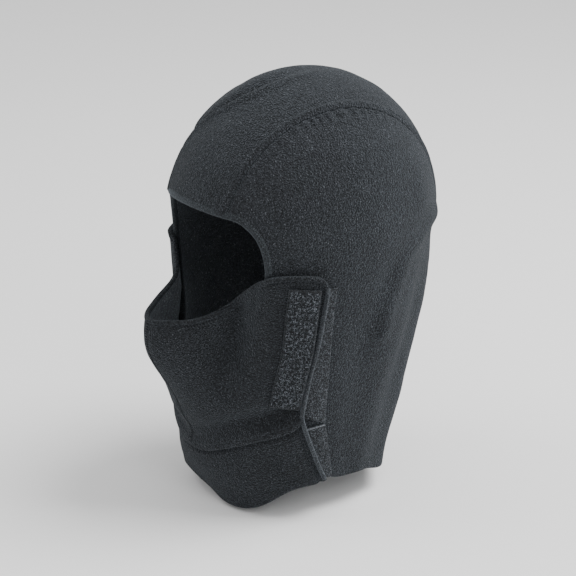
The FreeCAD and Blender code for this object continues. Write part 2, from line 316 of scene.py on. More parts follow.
def shell(name, outer, normals, thickness, material, lining=None):
    """A closed sheet of cloth: an outer grid, the inner one behind it, and half-round rims.
    The inner grid's faces take the lining."""
    rows, columns = outer.shape[:2]
    inner = outer - normals * thickness
    rim = [(0, c) for c in range(columns)]
    rim += [(r, columns - 1) for r in range(1, rows)]
    rim += [(rows - 1, c) for c in range(columns - 2, -1, -1)]
    rim += [(r, 0) for r in range(rows - 2, 0, -1)]
    index = np.array(rim)
    edge, normal = outer[index[:, 0], index[:, 1]], normals[index[:, 0], index[:, 1]]
    tangent = np.roll(edge, -1, 0) - np.roll(edge, 1, 0)
    side = np.cross(tangent, normal)
    side /= np.linalg.norm(side, axis=1, keepdims=True) + 1e-12
    middle = outer[rows // 2, columns // 2]
    if np.sum(side * (edge - middle)) < 0:
        side = -side
    vertices = [outer.reshape(-1, 3), inner.reshape(-1, 3)]
    half = thickness / 2
    for k in range(1, RIM_STEPS):
        turn = math.pi * k / RIM_STEPS
        vertices.append(
            edge - normal * half + normal * half * math.cos(turn) + side * half * math.sin(turn)
        )
    count = rows * columns
    rings = [index[:, 0] * columns + index[:, 1]]
    rings += [2 * count + (k - 1) * len(rim) + np.arange(len(rim)) for k in range(1, RIM_STEPS)]
    rings.append(count + index[:, 0] * columns + index[:, 1])
    outward = np.cross(outer[0, 1] - outer[0, 0], outer[1, 0] - outer[0, 0])
    flip = bool(np.dot(outward, normals[0, 0]) < 0)
    faces = grid_faces(rows, columns, 0, flip) + grid_faces(rows, columns, count, not flip)
    for a_ring, b_ring in zip(rings, rings[1:]):
        after_a, after_b = np.roll(a_ring, -1), np.roll(b_ring, -1)
        for a, b, c, d in zip(a_ring, after_a, after_b, b_ring):
            quad = (int(a), int(d), int(c), int(b))
            faces.append(quad[::-1] if flip else quad)
    made = make_object(name, np.vstack(vertices), faces, material)
    if lining:
        made.data.materials.append(lining)
        inside = (rows - 1) * (columns - 1)
        slots = np.zeros(len(faces), int)
        slots[inside : 2 * inside] = 1
        made.data.polygons.foreach_set("material_index", slots.tolist())
    return made


def path_frame(path, normals):
    """Unit tangents, and unit normals square to them, along a path."""
    tangents = np.gradient(path, axis=0)
    tangents /= np.linalg.norm(tangents, axis=1, keepdims=True)
    normals = normals - tangents * np.sum(normals * tangents, 1, keepdims=True)
    normals /= np.linalg.norm(normals, axis=1, keepdims=True)
    return tangents, normals, np.cross(tangents, normals)


BAND_TIP = 0.2  # the least size of a band's end, as a share of its full size


def band(name, path, normals, half_width, half_height, material, sides=16, power=0.75):
    """A soft rounded band along a path, closed and drawn in at both ends."""
    _, normals, across = path_frame(path, normals)
    turn = np.linspace(0, 2 * np.pi, sides, endpoint=False)
    flat = np.sign(np.cos(turn)) * np.abs(np.cos(turn)) ** power * half_width
    tall = np.sign(np.sin(turn)) * np.abs(np.sin(turn)) ** power * half_height
    along = lengths_along(path)
    end = np.minimum(along, along[-1] - along) / half_height
    size = np.maximum(np.sqrt(1 - np.square(1 - np.clip(end, 0, 1))), BAND_TIP)
    rings = (
        path[:, None]
        + across[:, None] * (flat[None, :, None] * (0.5 + 0.5 * size[:, None, None]))
        + normals[:, None] * (tall[None, :, None] * size[:, None, None])
    )
    count = len(path)
    faces = []
    for r in range(count - 1):
        for c in range(sides):
            d = (c + 1) % sides
            faces.append((r * sides + c, r * sides + d, (r + 1) * sides + d, (r + 1) * sides + c))
    faces.append(tuple(range(sides))[::-1])
    faces.append(tuple((count - 1) * sides + c for c in range(sides)))
    return make_object(name, rings.reshape(-1, 3), faces, material)


STITCH_SIDES = 6
STITCH_SHARES = (-0.5, -0.3, 0.0, 0.3, 0.5)  # places of the rings along a stitch
STITCH_TOP, STITCH_BEND = 1.1, 7.5  # how a stitch stands up and dives in, in radii


def stitches(name, path, normals, pitch, length, radius, material, lean=0.0):
    """Separate stitches along a path: short threads with sunken ends, leaning by an angle."""
    total = float(np.sum(np.linalg.norm(np.diff(path, axis=0), axis=1)))
    count = max(2, int(total / pitch))
    fine = spaced(np.hstack([path, normals]), count * 2 + 1)
    places = fine[:, :3]
    tangents, ups, across = path_frame(places, fine[:, 3:])
    angle = math.radians(lean)
    turns = np.linspace(0, 2 * math.pi, STITCH_SIDES, endpoint=False)
    ring = [(math.cos(turn), math.sin(turn)) for turn in turns]
    vertices, faces = [], []
    for k in range(1, 2 * count, 2):
        way = tangents[k] * math.cos(angle) + across[k] * math.sin(angle)
        flank = np.cross(way, ups[k])
        base = len(vertices)
        for share in STITCH_SHARES:
            height = radius * (STITCH_TOP - STITCH_BEND * share * share)
            centre = places[k] + way * length * share + ups[k] * height
            for x, y in ring:
                vertices.append(centre + (flank * x + ups[k] * y) * radius)
        for r in range(len(STITCH_SHARES) - 1):
            for c in range(STITCH_SIDES):
                d = (c + 1) % STITCH_SIDES
                a, b = base + r * STITCH_SIDES, base + (r + 1) * STITCH_SIDES
                faces.append((a + c, a + d, b + d, b + c))
        last = base + (len(STITCH_SHARES) - 1) * STITCH_SIDES
        faces.append(tuple(base + c for c in range(STITCH_SIDES))[::-1])
        faces.append(tuple(last + c for c in range(STITCH_SIDES)))
    return make_object(name, vertices, faces, material)


def on_body(made, body_name, node):
    """Puts a piece on a body in place of a CAD node."""
    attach(made, body_name)
    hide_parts(node)


# ---- materials ----

CLOTH_SPECULAR = 0.25
SHEEN_TINT = (0.62, 0.72, 0.82, 1)
TUFT_SIZE, FINE_SIZE, SHADE_SIZE = 1.25, 0.78, 26  # millimetres
SPECK_COLOUR = 0.035  # grey that the brightest fibres add to the light colour


class Nodes:
    """Short way to add and join shader nodes."""

    def __init__(self, name):
        self.material = bpy.data.materials.new(name)
        self.material.use_nodes = True
        self.tree = self.material.node_tree
        self.shader = self.tree.nodes["Principled BSDF"]
        coordinates = self.tree.nodes.new("ShaderNodeTexCoord")
        self.place = coordinates.outputs["Object"]

    def add(self, kind, inputs, **settings):
        """A node with its settings, and its inputs linked or set."""
        node = self.tree.nodes.new("ShaderNode" + kind)
        for key, value in settings.items():
            setattr(node, key, value)
        for key, value in inputs.items():
            if isinstance(value, bpy.types.NodeSocket):
                self.tree.links.new(value, node.inputs[key])
            else:
                node.inputs[key].default_value = value
        return node

    def noise(self, size, detail=2.0, roughness=0.5):
        """Noise of a size in millimetres."""
        inputs = {"Vector": self.place, "Scale": 1 / (size * METRE)}
        inputs.update({"Detail": detail, "Roughness": roughness})
        return self.add("TexNoise", inputs).outputs["Fac"]

    def ramp(self, value, stops):
        """Colours over a value, from pairs of place and colour."""
        node = self.add("ValToRGB", {"Fac": value})
        elements = node.color_ramp.elements
        while len(elements) < len(stops):
            elements.new(0.5)
        for element, (place, colour) in zip(elements, stops):
            element.position = place
            element.color = (*colour, 1)
        return node.outputs["Color"]

    def mix(self, first, second, mode):
        """Two colours fully combined in a mode.  A mix node's sockets 0, 6 and 7 are the amount
        and the two colours, and its output 2 is the colour."""
        inputs = {0: 1.0, 6: first, 7: second}
        return self.add("Mix", inputs, data_type="RGBA", blend_type=mode).outputs[2]

    def maths(self, operation, first, second):
        """Two values combined by an operation."""
        return self.add("Math", {0: first, 1: second}, operation=operation).outputs["Value"]

    def finish(self, colour, height, depth, roughness, sheen, sheen_roughness=0.5):
        """Joins colour and bump, and sets the surface of cloth."""
        links = self.tree.links
        links.new(colour, self.shader.inputs["Base Color"])
        bump = self.add("Bump", {"Height": height, "Strength": 1.0, "Distance": depth * METRE})
        links.new(bump.outputs["Normal"], self.shader.inputs["Normal"])
        self.shader.inputs["Roughness"].default_value = roughness
        self.shader.inputs["Specular IOR Level"].default_value = CLOTH_SPECULAR
        self.shader.inputs["Sheen Weight"].default_value = sheen
        self.shader.inputs["Sheen Roughness"].default_value = sheen_roughness
        self.shader.inputs["Sheen Tint"].default_value = SHEEN_TINT
        return self.material


def fleece_material(name, dark, light, grain=1.0, depth=3.0, sheen=0.12):
    """Pilled fleece: small tufts with darker gaps, in patches of slightly different shade."""
    n = Nodes(name)
    tufts = n.noise(TUFT_SIZE * grain, 2.0, 0.55)
    fine = n.noise(FINE_SIZE * grain, 0.0)
    height = n.maths("ADD", tufts, n.maths("MULTIPLY", fine, 0.45))
    middle = [0.6 * a + 0.36 * b for a, b in zip(dark, light)]
    shade = n.ramp(height, [(0.55, dark), (0.73, middle), (0.92, light)])
    specks = n.ramp(fine, [(0.7, (0, 0, 0)), (0.82, [1.3 * c + SPECK_COLOUR for c in light])])
    colour = n.mix(shade, specks, "ADD")
    shades = n.ramp(n.noise(SHADE_SIZE, 3.0), [(0.3, (0.85,) * 3), (0.7, (1.12,) * 3)])
    colour = n.mix(colour, shades, "MULTIPLY")
    return n.finish(colour, height, depth, 0.92, sheen)


def loop_material(name, dark, light, curl=0.9):
    """Loop side of hook-and-loop tape: a coarse, tangled and slightly shiny pile."""
    n = Nodes(name)
    curls = n.noise(curl, 3.0, 0.7)
    coarse = n.noise(2.6, 2.0)
    height = n.maths("ADD", curls, n.maths("MULTIPLY", coarse, 0.6))
    colour = n.ramp(curls, [(0.47, dark), (0.57, [0.35 * c for c in light]), (0.66, light)])
    return n.finish(colour, height, 1.2, 0.6, 0.2, 0.35)


def thread_material(name, dark, light, strand=0.35):
    """Spun thread, lighter and darker along its length."""
    n = Nodes(name)
    strands = n.noise(strand, 1.0)
    colour = n.ramp(strands, [(0.35, dark), (0.7, light)])
    return n.finish(colour, strands, 0.08, 0.6, 0.25)


FLEECE = fleece_material("fleece", (0.0028, 0.0034, 0.0042), (0.0345, 0.0388, 0.0460))
# The mask takes the hood's fleece painted about a third darker: painted shade for the mask's faces, which
# turn away from the light above and behind.
SHADED_MASK_FLEECE = fleece_material("mask_fleece_painted_shade", (0.0016, 0.0020, 0.0025), (0.0225, 0.0255, 0.0308))
# The inside faces take a fleece about three times lighter than the outside: painted light that stands in
# for light reaching inside the hood and mask.
LIT_LINING = fleece_material("lining_painted_light", (0.05, 0.056, 0.063), (0.10, 0.11, 0.122), 1.3, 1.2, 0.2)
BINDING = fleece_material("binding", (0.006, 0.007, 0.008), (0.036, 0.042, 0.048), 0.7, 0.3, 0.2)
# The rear hem is folded from the mask's own cloth, but its fleece is painted more than twice as light:
# painted light on the lit hem.
LIT_HEM_FLEECE = fleece_material(
    "hem_fleece_painted_light", (0.0045, 0.0054, 0.0064), (0.052, 0.058, 0.067), 0.7, 0.6, 0.28
)
LOOP = loop_material("loop_tape", (0.0016, 0.002, 0.0026), (0.05, 0.057, 0.067), 0.75)
SOFT_LOOP = loop_material("worn_loop_tape", (0.004, 0.0048, 0.006), (0.145, 0.162, 0.188))
HOOK = loop_material("hook_tape", (0.010, 0.011, 0.012), (0.07, 0.075, 0.082))
THREAD = thread_material("thread", (0.002, 0.0024, 0.003), (0.014, 0.016, 0.019))
CURL = thread_material("loop_curls", (0.010, 0.012, 0.015), (0.27, 0.295, 0.335), 1.3)
SELVEDGE = thread_material("tape_selvedge", (0.06, 0.066, 0.074), (0.16, 0.172, 0.19), 1.2)
LABEL = thread_material("label_tape", (0.42, 0.42, 0.41), (0.6, 0.6, 0.58))

# ---- the hood ----

SEAM_PLACES = ((-90, 36.0), (0, 45.0), (110, 40.0))  # y and half width of the crown strip
BINDING_LAP = 4.0
BROW_EDGE = BROW - BINDING_LAP  # the height at which the brow's cloth ends inside the binding
CROWN_COLUMNS, ROWS_OVER, ROWS_DOWN = 74, 210, 130
WAVES = ((0.7, 42), (0.28, 14), (0.13, 5.5))  # height and size of the cloth's slow unevenness
HOOD_SEED, MASK_SEED, MASK_RIGHT_SEED, NECK_SEED = 11, 61, 71, 83


def seam_width(y):
    """Half width of the crown strip at a place from front to back."""
    (y0, w0), (y1, w1), (y2, w2) = SEAM_PLACES
    return (
        w0 * (y - y1) * (y - y2) / ((y0 - y1) * (y0 - y2))
        + w1 * (y - y0) * (y - y2) / ((y1 - y0) * (y1 - y2))
        + w2 * (y - y0) * (y - y1) / ((y2 - y0) * (y2 - y1))
    )


def crown_places(turn, drop, share):
    """Points of the crown strip: over the dome by an angle, then down the nape by a height.
    share runs from -1 at the right seam to 1 at the left one."""
    y = -GIRTH_LENGTH * np.cos(turn)
    up = np.where(drop < 0, drop, DOME * np.sin(turn))
    for _ in range(6):
        side = share * seam_width(y)
        length, width, shift = section(np.minimum(up, 0))
        reach = length * np.sqrt(1 - np.square(side / width))
        y = np.where(drop < 0, reach - shift, -reach * np.cos(turn))
        rise = DOME * np.sqrt(1 - np.square(side / GIRTH_WIDTH)) * np.sin(turn)
        up = np.where(drop < 0, drop, rise)
    return np.stack([side, y, up], -1)


def crown_grid(columns, rows_over, rows_down):
    """The crown strip from the brow over the dome and down to the nape."""
    turn = np.linspace(math.asin(BROW_EDGE / DOME) * 1.02, math.pi, rows_over)
    turn = np.concatenate((turn, np.full(rows_down, math.pi)))
    drop = np.concatenate((np.zeros(rows_over), np.linspace(0, NAPE + 2, rows_down + 1)[1:]))
    even = np.linspace(-1, 1, columns)
    share = 0.55 * even + 0.45 * np.sin(np.pi / 2 * even)  # closer together beside the seams
    return crown_places(turn[:, None], drop[:, None], share[None, :] + 0 * turn[:, None])


def fleece_waves(points, seed, amount=1.0):
    """Slow unevenness of hanging cloth."""
    parts = (height * lattice_noise(points, size, seed + k) for k, (height, size) in enumerate(WAVES))
    return amount * sum(parts)


crown = crown_grid(CROWN_COLUMNS, ROWS_OVER, ROWS_DOWN)
seam_left = crown[:, -1]
seam_right = crown[:, 0]

SEAM_RIDGE, SEAM_VALLEY = 1.1, 2.6  # on the crown strip, and on the side panels
SEAM_RIDGE_GAP, SEAM_REACH = 2.6, 1.5
GATHER_HEIGHT, GATHER_GAP, GATHER_REACH = 0.9, 4.5, 5.5
BACK_HOLLOWS = ((-3.4, -17, 18), (-2.6, -82, 40), (-3.4, -114, 20))
# a ridge runs back from the brow, as (y, x), with a crest and a dimple beside it
BROW_RIDGE = np.array([(-78, -34), (-60, -8), (-45, 3), (-25, 8), (-5, 9)])
BROW_FOLDS = ((3.8, 2, 4.5), (-7.5, -10, 8))
NAPE_FOLDS = ((1.3, (16, 12), (-70, 60)), (-1.2, (-14, 14), (-110, 60)))


def seam_ridge(points, line):
    """Height of the soft ridge of cloth beside a seam."""
    return SEAM_RIDGE * hill(distance_to(points, line)[0], SEAM_RIDGE_GAP, SEAM_REACH)


def seam_valley(points, line):
    """Height of the valley of cloth on a seam."""
    return -SEAM_VALLEY * hill(distance_to(points, line)[0], 0, SEAM_REACH)


def seam_gathers(points, line, start):
    """Small gathers of the cloth below a seam, over the top of the head."""
    gap, along = distance_to(points, line)
    gathers = np.sin(along * 0.75 + 2.2 * np.sin(along * 0.13 + start))
    return GATHER_HEIGHT * gathers * hill(gap, GATHER_GAP, GATHER_REACH) * hill(points[..., 1], -6, 44)


def back_hollow(z):
    """How far the cloth falls in behind the head and neck."""
    return hills(z, BACK_HOLLOWS)


def crown_relief(points):
    """Folds of the crown strip: a soft ridge over the brow, with a dimple on its right."""
    x, y, z = points[..., 0], points[..., 1], points[..., 2]
    top = climb(z, 0, 40) * hill(y, -42, 36)
    ridge = np.interp(y, *BROW_RIDGE.T)
    behind = y > 0
    return hills(x - ridge, BROW_FOLDS) * top + (mounds(x, z, NAPE_FOLDS) + back_hollow(z)) * behind


crown_normals = grid_normals(crown, away(crown))
crown_folds = crown_relief(crown)
crown_lift = crown_folds + fleece_waves(crown, HOOD_SEED)
crown_lift += seam_ridge(crown, seam_left) + seam_ridge(crown, seam_right)
crown_cloth = crown + crown_normals * crown_lift[..., None]
crown_mesh = shell("crown_strip", crown_cloth, crown_normals, CLOTH, FLEECE, LIT_LINING)
on_body(crown_mesh, "hood", "crown_panel")

# The face opening in side view, from the seam at the brow down to the foot of the hood.
OPENING = [(89, 29.5), (84, 24.5), (79, 18), (75.5, 9.5), (73, -3), (72.2, -17), (72.6, -60)]
OPENING += [(72.5, -108), (64, -140), (50, -176)]
HEM = [(50, -176), (41, -173.5), (30, -172), (16, -176), (-8, -177), (-28, -183)]
OPENING_BROW = 31  # the height of the brow's edge in that outline
OPENING_LAP = 2.2  # how far the side panels end behind the opening's edge
CORNER_BACK = 62  # where the side panel's top turns into its rear edge, along the seam
SIDE_COLUMNS, SIDE_ROWS = 190, 150


def inset(line, amount):
    """A side-view line moved back from the opening by an amount."""
    tangent = np.gradient(line, axis=0)
    tangent /= np.linalg.norm(tangent, axis=1, keepdims=True)
    return line + np.stack([tangent[:, 1], -tangent[:, 0]], 1) * amount


opening_line = smooth_line(OPENING, 260)
opening_line[:, 1] += BROW_EDGE - OPENING_BROW
front_line = inset(opening_line, OPENING_LAP)
corner = int(np.argmin(np.abs(seam_left[:ROWS_OVER, 1] - CORNER_BACK)))
seam_side = np.stack([-seam_left[:, 1], seam_left[:, 2]], 1)
side_top = spaced(seam_side[: corner + 1], SIDE_COLUMNS)
side_back = spaced(seam_side[corner:], SIDE_ROWS)
front_line = spaced(np.vstack([seam_side[:1], front_line[4:]]), SIDE_ROWS)
hem_line = smooth_line(HEM + [tuple(seam_side[-1])], SIDE_COLUMNS)
hem_line = hem_line + (front_line[-1] - hem_line[0]) * np.linspace(1, 0, SIDE_COLUMNS)[:, None]
side_plan = coons(side_top, hem_line, front_line, side_back)


def closer_rows(grid, power=1.4):
    """The same grid with its rows closer together at the start."""
    place = np.linspace(0, 1, len(grid)) ** power * (len(grid) - 1)
    row = np.minimum(place.astype(int), len(grid) - 2)
    part = (place - row)[:, None, None]
    return grid[row] * (1 - part) + grid[row + 1] * part


side_plan = closer_rows(side_plan)
side_plan = closer_rows(side_plan[:, ::-1].swapaxes(0, 1)).swapaxes(0, 1)[:, ::-1]
side_left = hood_side(side_plan[..., 0], side_plan[..., 1])


# A soft fold of the side panel from the back of the head down to the cheek, in side view.
DRAPE = smooth_line([(-84, 2), (-66, -2), (-51, -8), (-37, -15), (-28, -28), (-21, -44), (-15, -66)], 60)
DRAPE_VALLEY = DRAPE + (13, -7)
DRAPE_FOLDS = ((DRAPE, (3.2, 0, 8)), (DRAPE_VALLEY, (-1.5, 0, 10)))

# Folds that hang behind the cheek and lean back with height, by their place at LEAN_HEIGHT.
HANGING_FOLDS = ((1.9, -70, 11), (-1.6, -52, 10), (1.2, -33, 12))
LEAN, LEAN_HEIGHT = 0.32, -60

# height, then middle and reach forward, then middle and reach upward
SIDE_MOUNDS = (
    (-1.8, (4, 13), (-95, 55)),  # hollow behind the patches
    (-1.2, (30, 26), (18, 26)),  # hollow of the temple
    (2.0, (-18, 16), (-178, 24)),  # flare of the hem
    (-1.5, (8, 10), (-176, 20)),  # dip of the hem
    (1.8, (-54, 11), (27, 14)),  # swell above the drape
)


def side_relief(points):
    """Folds, hollows and swells of a side panel."""
    fwd, z = -points[..., 1], points[..., 2]
    folds = hills(fwd + LEAN * (z - LEAN_HEIGHT), HANGING_FOLDS) * climb(z, 0, -60)
    back = back_hollow(z) * climb(fwd, -45, -85)
    plan = np.stack([fwd, z], -1)
    drape = sum(hills(distance_to(plan, line)[0], [fold]) for line, fold in DRAPE_FOLDS)
    return folds + mounds(fwd, z, SIDE_MOUNDS) + back + drape


SEAM_BLEND = 16  # distance from the seam over which the panels come to agree


def meet_seam(lift, points, seam, seam_lift):
    """The lift of a side panel, brought to the crown strip's own beside their seam."""
    gap, along = distance_to(points, seam)
    free = climb(gap, 0, SEAM_BLEND)
    free = free * free * (3 - 2 * free)
    return lift * free + np.interp(along, lengths_along(seam), seam_lift) * (1 - free)


def build_side(name, grid, seam, seam_lift, folding, gather_start, node):
    """A side panel of the hood, with its folds scaled and its gathers started at a phase."""
    normals = grid_normals(grid, away(grid))
    lift = meet_seam(side_relief(grid) * folding, grid, seam, seam_lift)
    lift += fleece_waves(grid, HOOD_SEED) + seam_valley(grid, seam)
    lift += seam_gathers(grid, seam, gather_start)
    made = shell(name, grid + normals * lift[..., None], normals, CLOTH, FLEECE, LIT_LINING)
    on_body(made, "hood", node)


build_side("side_cloth_left", side_left, seam_left, crown_folds[:, -1], 1.0, 0.0, "side_panel_left")
side_right = side_left * (-1, 1, 1)
build_side("side_cloth_right", side_right, seam_right, crown_folds[:, 0], 0.8, 1.7, "side_panel_right")


# The binding runs up one side of the opening, over the brow and down the other side.
BINDING_HALF_WIDTH, BINDING_HALF_HEIGHT, BINDING_SINK = 2.7, 2.0, 1.2
BROW_POINTS = 60
brow_turn = np.full(BROW_POINTS, math.asin((BROW_EDGE + 0.5) / DOME))
brow = crown_places(brow_turn, np.zeros(BROW_POINTS), np.linspace(1, -1, BROW_POINTS))
edge_side = inset(opening_line, 1.6)[6:]
edge_left = hood_side(edge_side[:, 0], edge_side[:, 1])
binding_path = np.vstack([edge_left[::-1], brow[2:-2], edge_left * (-1, 1, 1)])
binding_path = smooth_line(spaced(binding_path, 90), 620)
NECK_TAPER = -0.0012  # how the form's sides turn down below the girth


def hood_normals(points):
    """Outward directions of the form at points on or near it."""
    length, width, shift = section(points[:, 2])
    up = np.maximum(points[:, 2], 0) / np.square(DOME) + np.where(points[:, 2] < 0, NECK_TAPER, 0)
    across = points[:, 0] / np.square(width)
    along = (points[:, 1] + shift) / np.square(length)
    raw = np.stack([across, along, up], 1)
    return raw / np.linalg.norm(raw, axis=1, keepdims=True)


binding_normals = hood_normals(binding_path)
binding_lift = 0.25 * lattice_noise(binding_path, 9, 5) - BINDING_SINK
binding_path = binding_path + binding_normals * binding_lift[:, None]
binding_size = (BINDING_HALF_WIDTH, BINDING_HALF_HEIGHT)
binding = band("opening_binding", binding_path, binding_normals, *binding_size, BINDING)
on_body(binding, "hood", "face_opening_binding")


SEAM_THREAD = (3.2, 2.4, 0.28)  # pitch, length and radius of a stitch
TOP_THREAD = (2.2, 2.6, 0.3)
LADDER_THREAD = (1.9, 4.2, 0.3)
PATCH_THREAD = (2.9, 2.3, 0.3)


def seam_stitches(name, line, node):
    """Stitches sunk in a crown seam."""
    normals = hood_normals(line)
    made = stitches(name, line - normals * 1.3, normals, *SEAM_THREAD, THREAD)
    on_body(made, "hood", node)


seam_stitches("seam_stitches_left", crown_cloth[3:-2, -1], "crown_seam_thread_left")
seam_stitches("seam_stitches_right", crown_cloth[3:-2, 0], "crown_seam_thread_right")

# ---- patches ----

HOOD_PILE = ((0.25, 1.6, 77), (0.2, 3.1, 78))  # height, size and seed of the loops' unevenness


def corner_grid(corners, columns, rows):
    """A plane grid between four corners, from the front top one round."""
    a, b, c, d = [np.array(corner, float) for corner in corners]
    sides = (spaced([a, d], columns), spaced([b, c], columns), spaced([a, b], rows), spaced([d, c], rows))
    return coons(*sides)


def cloth_lift(points):
    """How far the side panel's cloth stands off the form."""
    return side_relief(points) + fleece_waves(points, HOOD_SEED)


def hood_patch(name, corners, side, node):
    """A loop patch sewn on the hood's side, from corners in side view."""
    plan = corner_grid(corners, 50, 120)
    grid = hood_side(plan[..., 0], plan[..., 1])
    normals = grid_normals(grid, away(grid))
    pile = sum(height * lattice_noise(grid, size, seed) for height, size, seed in HOOD_PILE)
    grid = grid + normals * (cloth_lift(grid) + HOOD_LOOPS + pile)[..., None]
    made = shell(name, grid * (side, 1, 1), normals * (side, 1, 1), HOOD_LOOPS - 0.1, SOFT_LOOP)
    on_body(made, "hood", node)


def patch_selvedge(name, corners, side):
    """The woven edge along the top of a hood patch."""
    plan = spaced([corners[0], corners[3]], 80)
    path = hood_side(plan[:, 0], plan[:, 1] - 0.5)
    out = hood_normals(path)
    path = path + out * (cloth_lift(path) + HOOD_LOOPS - 0.1)[:, None]
    made = band(name, path * (side, 1, 1), out * (side, 1, 1), 0.6, 0.5, SELVEDGE)
    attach(made, "hood")


CHEEK_LOOP = [(60.5, -22.5), (65.5, -113), (30.5, -128), (27.3, -24.5)]
NECK_LOOP = [(59.5, -134.0), (44, -172.5), (22.5, -173), (30.2, -129.2)]
for side, word in ((1, "left"), (-1, "right")):
    hood_patch("cheek_loops_" + word, CHEEK_LOOP, side, "cheek_loop_patch_" + word)
    hood_patch("neck_loops_" + word, NECK_LOOP, side, "neck_loop_patch_" + word)
    patch_selvedge("neck_loop_selvedge_" + word, NECK_LOOP, side)

# ---- the mask ----

# Mask outlines as (angle from the front in degrees, height).
MASK_TOP = [(0, -51.5), (7.7, -50.5), (16.9, -48.5), (27.6, -41.5), (32.8, -35), (37.9, -27)]
MASK_TOP += [(41.8, -21), (45, -17), (48.5, -14), (56, -12.6), (64, -13), (68.3, -15.8)]
MASK_REAR = [(68.3, -15.8), (69.7, -20), (69.8, -27), (67.5, -52), (64.7, -82), (63, -112)]
CHIN = [(0, -154.5), (10.6, -153), (28.5, -143.5), (42, -136), (51, -132), (59, -127), (63, -120)]
NECK_REAR = [(63, -120), (66.4, -137), (70.2, -153), (76, -172)]
NECK_FOOT = [(0, -192), (7, -193.7), (14, -195), (22, -196), (31.6, -195.4), (41.7, -190.5)]
NECK_FOOT += [(54.3, -180), (62.3, -175.5), (69, -174), (76, -172)]
NECK_FOOT_RIGHT = [(0, -192), (-6, -187.5), (-12, -184), (-19, -183.5), (-27, -186), (-37, -187)]
NECK_FOOT_RIGHT += [(-47, -184), (-55, -180), (-62.3, -175.5), (-69, -174), (-76, -172)]

# The groove beside the nose leans out with height, and is wider and shallower on the right.
GROOVE_SIDE, GROOVE_LEAN, GROOVE_HEIGHT = 45, 0.15, -52
GROOVE_LEFT, GROOVE_RIGHT = (13.5, 10.5), (10, 13)  # depth and reach
PRESSED = ((3.0, (66, 9), (-14, 32)),)  # where the mask's top lies close at the cheek
BACKED_DEPTH = 1.7  # how far the mask may sink where the hood lies behind it
HOOD_EDGE = 74  # how far forward the hood's opening lies

# height, distance and reach of the cloth's shape along the chin seam and the rear hem
CHIN_HOLLOW, CHIN_ROLL, CHIN_TUCK = (-4.6, 14.5, 7.5), (1.5, 3.5, 3.0), (-2.6, 1.5, 3.0)
HEM_VALLEY = (-1.5, 3.4, 1.7)


def mask_grid(plan, level=MASK_OUTER):
    """Points on the mask over a plan of angles and heights."""
    return mask_place(plan[..., 0], plan[..., 1], level)


def mask_relief(points):
    """Hollows of the mask beside the nose, shallow where the hood lies behind it."""
    x, z = np.abs(points[..., 0]), points[..., 2]
    left = points[..., 0] > 0
    depth = np.where(left, GROOVE_LEFT[0], GROOVE_RIGHT[0])
    reach = np.where(left, GROOVE_LEFT[1], GROOVE_RIGHT[1])
    groove = depth * hill(x - GROOVE_LEAN * (z - GROOVE_HEIGHT), GROOVE_SIDE, reach)
    hollow = -groove * climb(z, -110, -50) - mounds(x, z, PRESSED)
    unbacked = climb(-points[..., 1], HOOD_EDGE, HOOD_EDGE + 7)
    hollow = hollow * unbacked + np.maximum(hollow, -BACKED_DEPTH) * (1 - unbacked)
    apron = 2.0 * climb(z, -150, -170) * hill(x, 0, 60)
    tucked = -4.5 * np.clip((-166 - z) / 22, 0, 1.2) ** 1.5 * hill(x, 0, 20)
    return hollow + apron + tucked


top_line = smooth_line(MASK_TOP, 150)
rear_line = smooth_line(MASK_REAR + [CHIN[-1]], 130)
chin_line = smooth_line(CHIN, 150)
centre_line = spaced([(0, MASK_TOP[0][1]), (0, CHIN[0][1])], 130)
mask_plan = coons(top_line, chin_line, centre_line, rear_line)
mask_left = mask_grid(mask_plan)
neck_top = np.vstack([chin_line[:0:-1] * (-1, 1), chin_line])
neck_foot = np.vstack([smooth_line(NECK_FOOT_RIGHT, 150)[:0:-1], smooth_line(NECK_FOOT, 150)])
neck_rear = smooth_line(NECK_REAR, 70)
neck_plan = coons(neck_top, neck_foot, neck_rear * (-1, 1), neck_rear)
neck = mask_grid(neck_plan)
chin_curve = mask_grid(neck_top)
rear_curve = mask_grid(np.vstack([rear_line, neck_rear[1:]]))


def mask_lift(points, seed):
    """Height of the mask's cloth: its hollows, a roll along the chin seam and its waves."""
    gap, _ = distance_to(points, chin_curve)
    side = np.abs(points[..., 0])
    chin_left = chin_curve[len(chin_line) - 1 :]
    above = points[..., 2] > np.interp(side, np.abs(chin_left[:, 0]), chin_left[:, 2])
    flank = 0.25 + 0.75 * climb(side, 0, 32)
    hollow = np.where(above, hills(gap, [CHIN_HOLLOW]) * flank + hills(gap, [CHIN_ROLL]), 0)
    at_fold = 0.55 + 0.45 * climb(points[..., 0], -75, -45)
    below = np.where(above, 0, hills(gap, [CHIN_TUCK])) * at_fold
    on_left = points * (np.sign(points[..., :1]) * (1, 0, 0) + (0, 1, 1))
    valley = hills(distance_to(on_left, rear_curve)[0], [HEM_VALLEY])
    return mask_relief(points) + hollow + below + valley + fleece_waves(points, seed, 0.85)


def on_mask(made, nodes, crossing):
    """Puts a piece on the mask, or across its fold, in place of CAD nodes."""
    if crossing:
        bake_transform(made)
    else:
        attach(made, "mask")
    if nodes:
        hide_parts(*nodes)


def mask_panel(name, grid, seed, centre_dip, nodes, crossing):
    """A panel of the mask's cloth, drawn in along the centre seam by a depth."""
    normals = grid_normals(grid, away(grid))
    lift = mask_lift(grid, seed) - centre_dip * hill(grid[..., 0], 0, 1.6)
    made = shell(name, grid + normals * lift[..., None], normals, MASK_CLOTH, SHADED_MASK_FLEECE, LIT_LINING)
    on_mask(made, nodes, crossing)


CENTRE_DIP = 1.1
RIGHT_NODES = ["mask_panel_right", "mask_end_right"]
mask_right = mask_left * (-1, 1, 1)
mask_panel("mask_cloth_left", mask_left, MASK_SEED, CENTRE_DIP, ["mask_panel_left"], False)
mask_panel("mask_cloth_right", mask_right, MASK_RIGHT_SEED, CENTRE_DIP, RIGHT_NODES, True)
mask_panel("neck_cloth", neck, NECK_SEED, 0, ["neck_panel", "neck_end_right"], True)


